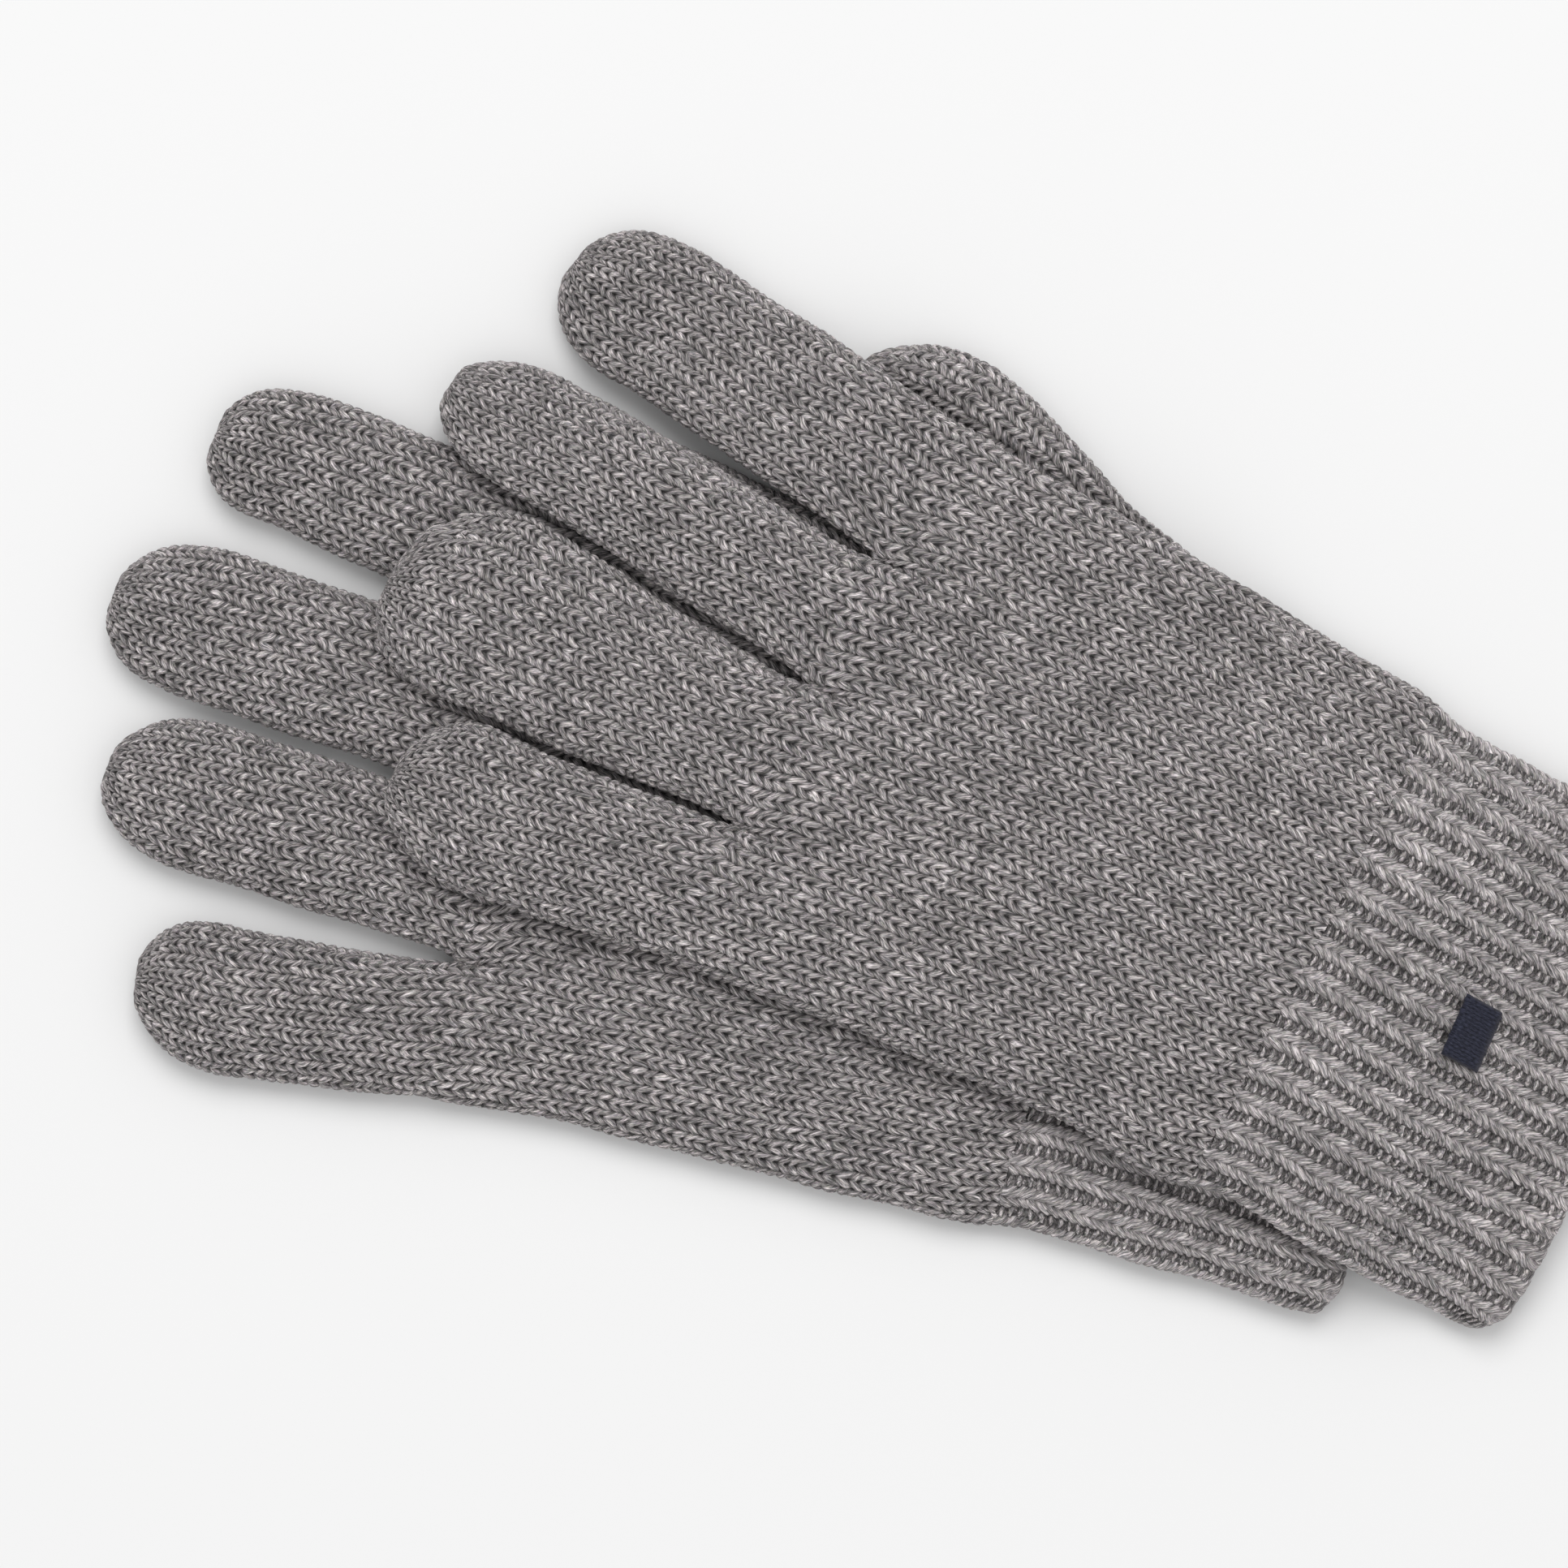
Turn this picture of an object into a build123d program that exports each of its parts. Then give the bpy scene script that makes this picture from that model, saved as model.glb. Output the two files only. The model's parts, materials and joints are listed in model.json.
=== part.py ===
from build123d import *
import os

# A pair of knitted gloves lying flat: the right glove palm up on the floor, and the left
# glove palm down on top of it, fanned a little.  Millimetres, +Z up.  +X points towards the
# fingertips, half way between the two gloves, and the origin is under the middle of the pair.
#
# Each glove is drawn in its own frame: "along" runs from the open end of its cuff to the
# fingertips, "across" runs from its middle line towards the thumb, which is -Y, and "level"
# is the height of a piece's underside.  A piece is a flattened knitted tube, so it is drawn
# as a row of stations: (along, low across, high across, level, height).

# Fabric
WALL = 2.0                 # one knitted wall
TUBE = 8.6                 # a flattened tube: two walls and the room between them
CORNER = 0.49              # corner radius of a tube's section, as a share of its shorter side
GAP = 0.3                  # room between pieces that move past each other
OVERRUN = 1.0              # how far a cutting shape runs past the face it opens

# Stations that both gloves share
EDGE_END = 8.0             # end of the cuff's tubular edge
WRIST = 64.0               # ribbing meets plain knitting
TIP_ROUNDING = 2.3         # exponent of the curve that closes a fingertip
TIP_STEPS = (0.35, 0.62, 0.82, 0.94, 0.985)
TIP_THICKNESS = 0.5        # height at the very end of a digit, as a share of its full height

# The right glove, flat on the floor
RIGHT = {
    "name": "right",
    "turn": 5.5,           # degrees about +Z
    "place": (-103.84, 2.60),
    "level": 0.0,
    "root": 171.0,         # where the fingers begin
    "cuff": [(0, -48.5, 48.5), (40, -48.5, 48.5), (WRIST, -49.5, 48.5)],
    "hand": [(WRIST, -49.5, 48.5), (84, -52, 48), (104, -53.3, 46.2), (130, -54.3, 46.4),
             (142, -55, 47.6), (155, -56.2, 50.4), (171, -58, 54)],
    # finger: fold line, (low, high) at the root, shoulder, (low, high) there, tip
    "fingers": {
        "index": (206, (26.0, 54.0), 226, (34.0, 59.0), (242.5, 46.5)),
        "middle": (206, (-3.0, 24.0), 233, (-1.2, 26.5), (251.5, 12.5)),
        "ring": (196, (-31.5, -5.0), 224, (-31.3, -4.2), (243.0, -17.5)),
        "little": (192, (-58.0, -33.5), 209, (-65.2, -39.5), (227.0, -53.5)),
    },
    "thumb": [(102, 47.5, 57), (112, 46.8, 61), (130, 47.0, 65), (142, 48.3, 66.3),
              (155, 51.0, 68.3), (168, 54.8, 70.5)],
    "thumb_tip": (182, 63),
    "label_at": (29, -33),
}

# The left glove, on top of it
LEFT = {
    "name": "left",
    "turn": -5.5,
    "place": (-143.09, -4.76),
    "level": 9.0,
    "root": 168.0,
    "cuff": [(0, -48.5, 48.5), (24, -48.5, 48.5), (WRIST, -49.0, 48.5)],
    "hand": [(WRIST, -49.0, 48.5), (84, -49.8, 50.5), (104, -50.3, 52), (134, -53, 52.8),
             (168, -57.5, 54)],
    "fingers": {
        "index": (200, (26.0, 54.0), 224, (32.0, 59.5), (242.0, 47.5)),
        "middle": (204, (0.0, 24.0), 233, (5.0, 27.0), (251.0, 17.0)),
        "ring": (200, (-29.0, -2.0), 226, (-34.5, -1.0), (244.0, -22.0)),
        "little": (192, (-57.5, -30.5), 209, (-64.0, -35.0), (226.5, -52.0)),
    },
    "thumb": [(92, 32, 50), (104, 29, 52), (118, 28.5, 53), (134, 31, 55.5), (150, 36, 61.5),
              (168, 40.5, 67)],
    "thumb_tip": (187, 54),
    "label_at": (43, -33),
}
MOUTH_LEVEL = 6.0          # the left cuff hangs past the right one, and its mouth gapes
MOUTH_HEIGHT = 11.6
INDEX_TIP_LEVEL = 0.5      # the left index finger hangs over the side, down to the floor
LEFT_THUMB_LEVEL = 0.3     # the left thumb is tucked under its own hand

# Openings from the hands into the thumbs: (along from, to, across from, to)
LEFT_THUMB_HOLE = (97, 113, 33, 48)
RIGHT_THUMB_HOLE = (107, 119, 40, 52)

# Trim
LABEL = (18.0, 18.0, 0.4)  # folded satin label inside the cuff
PATCH_AT = (31.0, -0.5)
PATCH = (8.0, 12.0, 0.7)   # embroidered patch on the back of the left cuff


def section(along, low, high, level, height):
    """A flattened tube's section, in a plane across the glove."""
    plane = Plane(origin=(along, -(low + high) / 2, level + height / 2), x_dir=(0, 1, 0),
                  z_dir=(1, 0, 0))
    width = high - low
    return plane * RectangleRounded(width, height, CORNER * min(width, height))


def through(stations):
    return loft([section(*station) for station in stations], ruled=True)


def shrunk(stations, open_start=True, open_end=True):
    """The room inside a tube, run past the ends that are open."""
    room = [(along, low + WALL, high - WALL, level + WALL, height - 2 * WALL)
            for along, low, high, level, height in stations]
    if open_start:
        room[0] = (room[0][0] - OVERRUN, *room[0][1:])
    if open_end:
        room[-1] = (room[-1][0] + OVERRUN, *room[-1][1:])
    return room


def at_level(stations, level, height=TUBE):
    return [(along, low, high, level, height) for along, low, high in stations]


def rounded_tip(shoulder, tip):
    """Stations that close a digit from its shoulder station to its tip (along, across)."""
    along, low, high, level, height = shoulder
    stations = []
    for step in TIP_STEPS:
        share = (1 - step ** TIP_ROUNDING) ** (1 / TIP_ROUNDING)
        thick = height * (TIP_THICKNESS + (1 - TIP_THICKNESS) * share)
        stations.append((along + (tip[0] - along) * step,
                         tip[1] + (low - tip[1]) * share, tip[1] + (high - tip[1]) * share,
                         level + (height - thick) / 2, thick))
    return stations


def closed_tube(stations, tip, open_start=True):
    """A tube along the stations, closed by a rounded tip."""
    room = shrunk(stations, open_start=open_start, open_end=False)
    inner_tip = (tip[0] - WALL, tip[1])
    if not open_start:
        room[0] = (room[0][0] + WALL, *room[0][1:])
    outside = through(stations + rounded_tip(stations[-1], tip))
    return outside - through(room + rounded_tip(room[-1], inner_tip))


def between(spec, root, along):
    """A finger's (low, high) part way from its root to its shoulder."""
    _, at_root, shoulder, at_shoulder, _ = spec
    share = (along - root) / (shoulder - root)
    return [start + (end - start) * share for start, end in zip(at_root, at_shoulder)]


def finger_base(spec, glove):
    """From the root of a finger to its fold line, open at both ends."""
    root, fold = glove["root"], spec[0]
    stations = [(root + GAP / 2, *spec[1]), (fold - GAP / 2, *between(spec, root, fold))]
    stations = at_level(stations, glove["level"])
    return through(stations) - through(shrunk(stations))


def finger_end(spec, glove, tip_level):
    """From the fold line to the closed tip, sloping down to tip_level."""
    fold, _, shoulder, at_shoulder, tip = spec
    level = glove["level"]
    slope = (tip_level - level) / (tip[0] - fold)
    start = (fold + GAP / 2, *between(spec, glove["root"], fold), level, TUBE)
    stations = [start, (shoulder, *at_shoulder, level + slope * (shoulder - fold), TUBE)]
    solid = closed_tube(stations, tip)
    if slope == 0:
        return solid
    return sloping_tube(stations, tip, slope)


def sloping_tube(stations, tip, slope):
    """A closed tube whose tip goes on down the slope of its stations."""
    room = shrunk(stations, open_end=False)
    solids = []
    for row, end in ((stations, tip), (room, (tip[0] - WALL, tip[1]))):
        shoulder = row[-1]
        closing = [(along, low, high, level + slope * (along - shoulder[0]), height)
                   for along, low, high, level, height in rounded_tip(shoulder, end)]
        solids.append(through(row + closing))
    return solids[0] - solids[1]


def hole(limits, bottom, top):
    """A cutting block: (along from, to, across from, to), bottom to top."""
    start, end, low, high = limits
    block = Box(end - start, high - low, top - bottom)
    return Pos((start + end) / 2, -(low + high) / 2, (bottom + top) / 2) * block


def plate(centre, size, level):
    """Thin trim lying flat, centred on (along, across)."""
    return Pos(centre[0], -centre[1], level + size[2] / 2) * Box(*size)


def cuff_pieces(glove, gap, mouth_level, mouth_height):
    """The ribbed cuff and its tubular edge, with the cuff's mouth open."""
    level = glove["level"]
    mouth, bend, wrist = glove["cuff"]
    share = EDGE_END / bend[0]
    edge_level = mouth_level + (level - mouth_level) * share
    edge_height = mouth_height + (TUBE - mouth_height) * share
    rim = (*mouth, mouth_level, mouth_height)
    seam = (EDGE_END, mouth[1], mouth[2], edge_level, edge_height)
    rib = [seam, (*bend, level, TUBE), (wrist[0] - gap / 2, wrist[1], wrist[2], level, TUBE)]
    return {"cuff_edge": through([rim, seam]) - through(shrunk([rim, seam])),
            "cuff": through(rib) - through(shrunk(rib))}


def hand_piece(glove, wrist_gap):
    """The tube round the palm, open at the wrist and at the fingers."""
    stations = at_level(glove["hand"], glove["level"])
    stations[0] = (stations[0][0] + wrist_gap / 2, *stations[0][1:])
    stations[-1] = (stations[-1][0] - GAP / 2, *stations[-1][1:])
    return through(stations) - through(shrunk(stations))


def finger_pieces(glove, tip_levels):
    pieces = {}
    for name, spec in glove["fingers"].items():
        pieces[name + "_base"] = finger_base(spec, glove)
        pieces[name + "_end"] = finger_end(spec, glove, tip_levels.get(name, glove["level"]))
    return pieces


def right_glove():
    """Flat on the floor, its thumb lying along the side of the hand."""
    pieces = cuff_pieces(RIGHT, 0, RIGHT["level"], TUBE)
    side_hole = hole(RIGHT_THUMB_HOLE, WALL, TUBE - WALL)
    thumb = at_level(RIGHT["thumb"], RIGHT["level"])
    pieces["hand"] = hand_piece(RIGHT, 0) - side_hole
    pieces["thumb"] = closed_tube(thumb, RIGHT["thumb_tip"], open_start=False) - side_hole
    pieces["label"] = plate(RIGHT["label_at"], LABEL, RIGHT["level"] + WALL)
    pieces.update(finger_pieces(RIGHT, {}))
    return pieces


def left_glove():
    """On top of the right glove, its thumb tucked under the hand beside it."""
    pieces = cuff_pieces(LEFT, GAP, MOUTH_LEVEL, MOUTH_HEIGHT)
    level = LEFT["level"]
    thumb = at_level(LEFT["thumb"], LEFT_THUMB_LEVEL, level - GAP - LEFT_THUMB_LEVEL)
    palm_hole = hole(LEFT_THUMB_HOLE, level - GAP - WALL - 0.1, level + WALL + 0.1)
    pieces["hand"] = hand_piece(LEFT, GAP) - palm_hole
    pieces["thumb"] = closed_tube(thumb, LEFT["thumb_tip"], open_start=False) - palm_hole
    pieces["label"] = plate(LEFT["label_at"], LABEL, level + WALL)
    pieces["patch"] = plate(PATCH_AT, PATCH, level + TUBE)
    pieces.update(finger_pieces(LEFT, {"index": INDEX_TIP_LEVEL}))
    return pieces


def placed(piece, glove):
    """From a glove's own frame to the pair's."""
    return Pos(*glove["place"], 0) * Rot(0, 0, glove["turn"]) * piece


def all_pieces():
    pieces = {}
    for glove, make in ((RIGHT, right_glove), (LEFT, left_glove)):
        for name, solid in make().items():
            pieces[glove["name"] + "_" + name] = placed(solid, glove)
    return pieces


os.makedirs("parts", exist_ok=True)
boxes = []
for name, solid in all_pieces().items():
    export_step(solid, f"parts/{name}.step")
    boxes.append(solid.bounding_box())
lowest = [min(getattr(box.min, axis) for box in boxes) for axis in "XYZ"]
highest = [max(getattr(box.max, axis) for box in boxes) for axis in "XYZ"]
print("pair from", [round(value, 2) for value in lowest], "to",
      [round(value, 2) for value in highest])
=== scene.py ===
import json
import math
from functools import partial

import bpy
import numpy as np
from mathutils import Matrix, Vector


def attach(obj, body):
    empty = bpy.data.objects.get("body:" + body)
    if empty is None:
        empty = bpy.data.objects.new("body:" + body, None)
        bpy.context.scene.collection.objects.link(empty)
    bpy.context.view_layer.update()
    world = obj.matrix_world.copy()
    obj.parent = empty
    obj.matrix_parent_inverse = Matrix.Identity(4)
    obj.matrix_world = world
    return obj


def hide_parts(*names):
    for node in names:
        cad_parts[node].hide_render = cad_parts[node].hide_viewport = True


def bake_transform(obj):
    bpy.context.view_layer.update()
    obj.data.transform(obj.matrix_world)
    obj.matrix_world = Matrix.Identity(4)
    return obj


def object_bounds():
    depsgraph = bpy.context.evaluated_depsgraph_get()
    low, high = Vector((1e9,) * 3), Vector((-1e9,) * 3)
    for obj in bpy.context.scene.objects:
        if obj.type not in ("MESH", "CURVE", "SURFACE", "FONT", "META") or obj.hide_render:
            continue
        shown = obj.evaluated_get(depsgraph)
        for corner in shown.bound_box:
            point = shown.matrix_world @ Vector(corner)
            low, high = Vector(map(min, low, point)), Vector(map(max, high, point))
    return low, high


# A pair of grey melange knitted gloves: the right one palm up on the floor, the left one palm
# down across it.  Shapes are worked out in millimetres in each glove's own frame: "along"
# from the mouth of the cuff to the fingertips, "across" from the middle line to the thumb.
# Every tube is a grid of stitches, so plain knitting and ribbing are real relief.

MM = 0.001

# -------------------- the frame

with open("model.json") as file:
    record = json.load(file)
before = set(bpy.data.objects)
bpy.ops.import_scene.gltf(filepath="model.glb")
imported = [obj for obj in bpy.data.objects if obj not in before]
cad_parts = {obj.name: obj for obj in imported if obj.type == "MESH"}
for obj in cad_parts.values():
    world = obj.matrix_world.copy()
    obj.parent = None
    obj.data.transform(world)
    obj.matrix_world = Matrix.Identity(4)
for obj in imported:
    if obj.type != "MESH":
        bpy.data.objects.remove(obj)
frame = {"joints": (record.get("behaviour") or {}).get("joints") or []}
cad_low, cad_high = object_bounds()
JOINTS = {joint["name"]: joint for joint in frame["joints"]}


class Place:
    """A glove's own frame, found from one of its fold joints."""

    def __init__(self, joint, along, across, facing):
        axis, position = JOINTS[joint]["axis"], JOINTS[joint]["pos_m"]
        self.sin, self.cos = -facing * axis[0], facing * axis[1]
        self.x = position[0] / MM - (along * self.cos + across * self.sin)
        self.y = position[1] / MM - (along * self.sin - across * self.cos)

    def world(self, along, across):
        """World X and Y, in millimetres."""
        return (self.x + along * self.cos + across * self.sin,
                self.y + along * self.sin - across * self.cos)

    def point(self, along, across):
        x, y = self.world(along, across)
        return (x * MM, y * MM, 0.0)


# -------------------- knitting

COURSE = 2.17              # one row of plain knitting
TIP_COURSE = 1.86          # the same near a fingertip
RIB_COURSE = 1.83          # one row of ribbing
HAND_COLUMNS = 35          # stitches across one face of the hand
RIBS = 16                  # ribs across one face of the cuff
THUMB_COLUMNS = 8
FINGER_COLUMNS = {"little": (0, 9), "ring": (9, 18), "middle": (18, 26), "index": (26, 35)}
UPPER_STEPS, LOWER_STEPS = 8, 4            # mesh columns in a stitch, on each face
FINGER_UPPER_STEPS, FINGER_LOWER_STEPS = 10, 5
UPPER_RIB_STEPS, LOWER_RIB_STEPS = 16, 10  # and in a rib
ROW_STEPS = 6              # mesh rows in a stitch

YARN_RELIEF = 1.05         # how far a stitch stands out
COLUMN_START = 0.25        # where in a stitch the hand's side folds lie
LEG_SLANT = 0.74           # rows that a stitch's leg climbs on its way in
TAPER_IN, TAPER_OUT = 0.34, 0.24           # how much slimmer a leg is at its ends
RIB_RELIEF = 0.5           # a rib's ridge above the mean, and its valley below
RIDGE_HALF = 0.335         # half of a ridge, as a share of the rib's pitch
RIB_LEG_SLANT = 1.08
PURL_SHIFT = 0.5           # rows between a rib's legs and the loops in its valley
LOOP_HALF = 0.52           # half the height of such a loop, as a share of a row
VALLEY_END = 0.5 / RIDGE_HALF


class Term:
    """A shader's value, which the formulas below use just like a number or an array."""

    def __init__(self, tree, socket):
        self.tree, self.socket = tree, socket

    def worked(self, operation, *values, clamp=False):
        made = self.tree.nodes.new("ShaderNodeMath")
        made.operation = operation
        made.use_clamp = clamp
        for socket, value in zip(made.inputs, values):
            if isinstance(value, Term):
                self.tree.links.new(value.socket, socket)
            else:
                socket.default_value = value
        return Term(self.tree, made.outputs[0])

    def __add__(self, other):
        return self.worked("ADD", self, other)

    def __sub__(self, other):
        return self.worked("SUBTRACT", self, other)

    def __rsub__(self, other):
        return self.worked("SUBTRACT", other, self)

    def __mul__(self, other):
        return self.worked("MULTIPLY", self, other)

    def __truediv__(self, other):
        return self.worked("DIVIDE", self, other)

    def __pow__(self, other):
        return self.worked("POWER", self, other)

    def __abs__(self):
        return self.worked("ABSOLUTE", self)

    __radd__ = __add__
    __rmul__ = __mul__


def clamp(x):
    return x.worked("ADD", x, 0.0, clamp=True) if isinstance(x, Term) else np.clip(x, 0, 1)


def fract(x):
    return x.worked("FRACT", x) if isinstance(x, Term) else x - np.floor(x)


def floor_of(x):
    return x.worked("FLOOR", x) if isinstance(x, Term) else np.floor(x)


def is_above(x, level):
    return x.worked("GREATER_THAN", x, level) if isinstance(x, Term) else 1.0 * (x > level)


def waves(x, y, size, seed):
    """Smooth noise, about -1 to 1, with features of about that size."""
    random = np.random.default_rng(seed)
    total = np.zeros_like(x)
    for _ in range(7):
        angle, phase = random.uniform(0, 2 * math.pi, 2)
        rate = 2 * math.pi / size * random.uniform(0.6, 1.5)
        total += np.sin(rate * (x * math.cos(angle) + y * math.sin(angle)) + phase)
    return total / 4.0


def plain_stitch(c, r):
    """A place in plain knitting, at column c and row r.

    v runs from the stitch's middle, 0, to its side, 1, and phase counts legs along the column.
    crown is how round the leg is there, gap how open it is beside the leg, ends how near the
    leg's ends it is, and line is the thin line between two stitches.
    """
    v = abs(2 * fract(c) - 1)
    phase = r + LEG_SLANT * v
    inner, outer = (1 - v) ** 1.5, v ** 4
    slim = 1 - TAPER_IN * inner - TAPER_OUT * outer
    crown = clamp(1 - ((2 * fract(phase) - 1) / slim) ** 2)
    gap = 0.22 + 0.72 * inner + 0.55 * outer
    ends = (2 * v - 1) ** 2
    line = clamp((v - 0.8) / 0.2) ** 1.5
    return v, phase, crown, gap, ends, line


def rib_stitch(c, r):
    """The same for 1x1 ribbing; valley is 1 between ridges, and loop is a purl loop's crown."""
    p = abs(fract(c + 0.5) - 0.5)
    v = p / RIDGE_HALF
    valley = is_above(v, 1)
    on_ridge = clamp(v)
    phase = r + RIB_LEG_SLANT * on_ridge + PURL_SHIFT * valley
    across = 2 * fract(phase) - 1
    inner = 1 - on_ridge
    outer = clamp((on_ridge - 0.6) / 0.4)
    crown = clamp(1 - (across / (1 - 0.2 * inner ** 2 - 0.35 * outer ** 2)) ** 2)
    gap = 0.3 + 0.3 * inner ** 2 + 0.7 * outer
    line = clamp(1 - 5 * v)
    foot = clamp((VALLEY_END - v) / (VALLEY_END - 1))
    loop = clamp(1 - (across / LOOP_HALF) ** 2 / (1 - 0.9 * foot ** 2))
    return v, phase, crown, gap, line, valley, loop, p


def jersey(c, r):
    """Outward relief in mm of plain knitting."""
    _, _, crown, gap, ends, line = plain_stitch(c, r)
    return YARN_RELIEF * (0.45 - gap * (1 - crown ** 0.5) - 0.22 * ends - 0.35 * line)


def ribbing(c, r):
    """Outward relief in mm of ribbing."""
    _, _, crown, gap, line, valley, loop, p = rib_stitch(c, r)
    ridge = 0.45 - gap * (1 - crown ** 0.5) - 0.3 * line
    body = 1 - 2 * np.sin(math.pi * p) ** 2.6
    return RIB_RELIEF * body + YARN_RELIEF * np.where(valley, 0.8 * loop ** 0.5 - 0.5, ridge)


# -------------------- shapes of the tubes

WRIST = 64.0
EDGE_END = 8.0             # end of the cuff's edge
EDGE_LINING = 24.0         # and of its inner face
RISE = 4.4                 # from a hand's side folds up to its upper face
FINGER_RISE = 4.9
DROP = 3.1                 # and down to its lower face
FLAT = 3.2                 # exponent of a hand's section, which is nearly flat
ROUND = 2.5                # exponent of a finger's section
TIP_CURVE = 2.3            # exponent of a fingertip's outline
NOSE = 9.0                 # length over which a fingertip thins out
FADE_IN = 15.0             # how far into the hand the fingers' shapes reach
CROTCH_CURVE = 2.2
GUSSET = 14.0              # length over which a finger gains the stitches picked up beside it
GATHER = 7.0               # how far the ribs' waves reach into the hand

RIGHT = {
    "name": "right",
    "root": 171.0,
    "hand": [(0, -48.6, 47.0), (20, -48.3, 47.6), (44, -48.6, 47.8), (60, -48.9, 47.4),
             (70, -51.2, 48.4), (84, -52.2, 48.0), (104, -53.3, 46.4), (130, -54.3, 46.4),
             (150, -55.6, 49.0), (171, -58.0, 53.6), (190, -60.5, 55.0)],
    # finger: (low, high) at the root, shoulder, (low, high) there, tip
    "fingers": {
        "index": ((26.4, 53.8), 226, (34.0, 59.0), (242.8, 46.5)),
        "middle": ((-2.6, 24.0), 233, (-1.2, 26.5), (251.8, 12.5)),
        "ring": ((-31.4, -5.0), 224, (-31.3, -4.2), (243.3, -17.5)),
        "little": ((-58.2, -34.2), 209, (-65.4, -39.3), (227.3, -53.5)),
    },
    "crotches": (-32.8, -3.9, 25.2),
    # stitches across one face of each finger
    "stitches": {"little": 10, "ring": 10, "middle": 10, "index": 9},
    "thumb": [(90, 33, 46.0), (102, 38, 53), (112, 42.5, 60), (130, 46.5, 65), (142, 48.3, 66.3),
              (155, 51.0, 68.3), (167, 54.6, 70.0)],
    "thumb_tip": (182, 63),
    # how far in the mouth's middle and its corners lie, and the exponent between them
    "mouth_bow": (-0.3, 2.4, 5.0),
    "gape": 0.8,
    # how far the thumb's base rises into the hand over it
    "thumb_rise": 0.0,
}
LEFT = {
    "name": "left",
    "root": 167.6,
    "hand": [(0, -47.9, 46.4), (10, -47.6, 46.6), (24, -48.2, 47.0), (44, -47.6, 47.4),
             (60, -47.4, 48.0), (69, -49.9, 50.2), (84, -49.6, 50.6), (104, -50.4, 52.0),
             (134, -53.2, 52.6), (154, -55.4, 52.8), (167.6, -57.2, 53.4), (190, -60.5, 55.3)],
    "fingers": {
        "index": ((26.0, 53.4), 223, (31.8, 59.6), (242.2, 47.8)),
        "middle": ((0.4, 23.6), 233, (4.8, 27.2), (251.2, 17.0)),
        "ring": ((-29.0, -2.4), 227, (-34.6, 1.8), (244.2, -22.5)),
        "little": ((-57.2, -31.0), 209, (-64.0, -35.4), (226.6, -52.0)),
    },
    "crotches": (-29.8, -1.0, 24.6),
    "stitches": {"little": 11, "ring": 12, "middle": 10, "index": 11},
    "thumb": [(92, 34, 49), (104, 31, 51), (118, 29.5, 52.6), (134, 31, 55.5), (146, 34.6, 60),
              (157, 37.5, 63.8), (167, 40, 66.4)],
    "thumb_tip": (187, 53.5),
    "mouth_bow": (0.2, 5.0, 7.0),
    "gape": 2.2,
    "thumb_rise": 2.0,
}
# The left ring finger lies over a gap, and its edge sinks along a crease: where the crease is
# across the glove, where it fades in along it, how deep it is, and how far its tip is drawn in
CREASED, CREASE_AT, CREASE_FROM, CREASE_DEPTH, CREASE_DRAW = "ring", -7.5, 196.0, 1.6, 2.0


def smooth(x):
    x = np.clip(x, 0, 1)
    return x * x * (3 - 2 * x)


def through_points(points, column, x):
    """A smooth curve through points (along, value, value), one of the value columns at x."""
    points = np.array(points, float)
    at, value = points[:, 0], points[:, column]
    slope = np.gradient(value, at)
    i = np.clip(np.searchsorted(at, x) - 1, 0, len(at) - 2)
    width = at[i + 1] - at[i]
    t = np.clip((x - at[i]) / width, 0, 1)
    return (value[i] * (1 + 2 * t) * (1 - t) ** 2 + value[i + 1] * t * t * (3 - 2 * t)
            + width * (slope[i] * t * (1 - t) ** 2 - slope[i + 1] * t * t * (1 - t)))


def half_section(low, high, depth, power, steps):
    """Half of a flattened tube's section: (across, height) at shares steps of its length."""
    angle = np.linspace(0, math.pi, 181)
    swing = np.cos(angle)
    across = (low + high) / 2 - (high - low) / 2 * np.sign(swing) * np.abs(swing) ** (2 / power)
    height = depth * np.clip(np.sin(angle), 0, 1) ** (2 / power)
    length = np.concatenate([[0], np.cumsum(np.hypot(np.diff(across), np.diff(height)))])
    at = steps * length[-1]
    return np.interp(at, length, across), np.interp(at, length, height)


def closing(x, shoulder, tip):
    """How much of a digit's width and of its thickness is left at x, near its tip."""
    width = (1 - np.clip((x - shoulder) / (tip - shoulder), 0, 1) ** TIP_CURVE) ** (1 / TIP_CURVE)
    thick = (1 - np.clip((x - tip + NOSE) / NOSE, 0, 1) ** 2.2) ** 0.5
    return width, thick


def finger_edges(glove, name, x):
    """(low, high, thickness share) of a finger at x."""
    at_root, shoulder, at_shoulder, tip = glove["fingers"][name]
    root = glove["root"]
    marks = (through_points(glove["hand"], 1, root), *glove["crotches"],
             through_points(glove["hand"], 2, root))
    first = list(FINGER_COLUMNS).index(name)
    share = (min(max(x, root), shoulder) - root) / (shoulder - root)
    fade = math.exp(-max(x - root, 0) / CROTCH_CURVE)
    width, thick = closing(x, shoulder, tip[0])
    edges = []
    for side in (0, 1):
        edge = at_root[side] + (at_shoulder[side] - at_root[side]) * share
        edge += (marks[first + side] - at_root[side]) * fade
        edges.append(tip[1] + (edge - tip[1]) * width)
    return (*edges, thick)


def finger_half(glove, name, x, columns, side):
    low, high, thick = finger_edges(glove, name, x)
    first, last = FINGER_COLUMNS[name]
    depth = (FINGER_RISE if side > 0 else -DROP) * thick
    return half_section(low, high, depth, ROUND, (columns - first) / (last - first))


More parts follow.
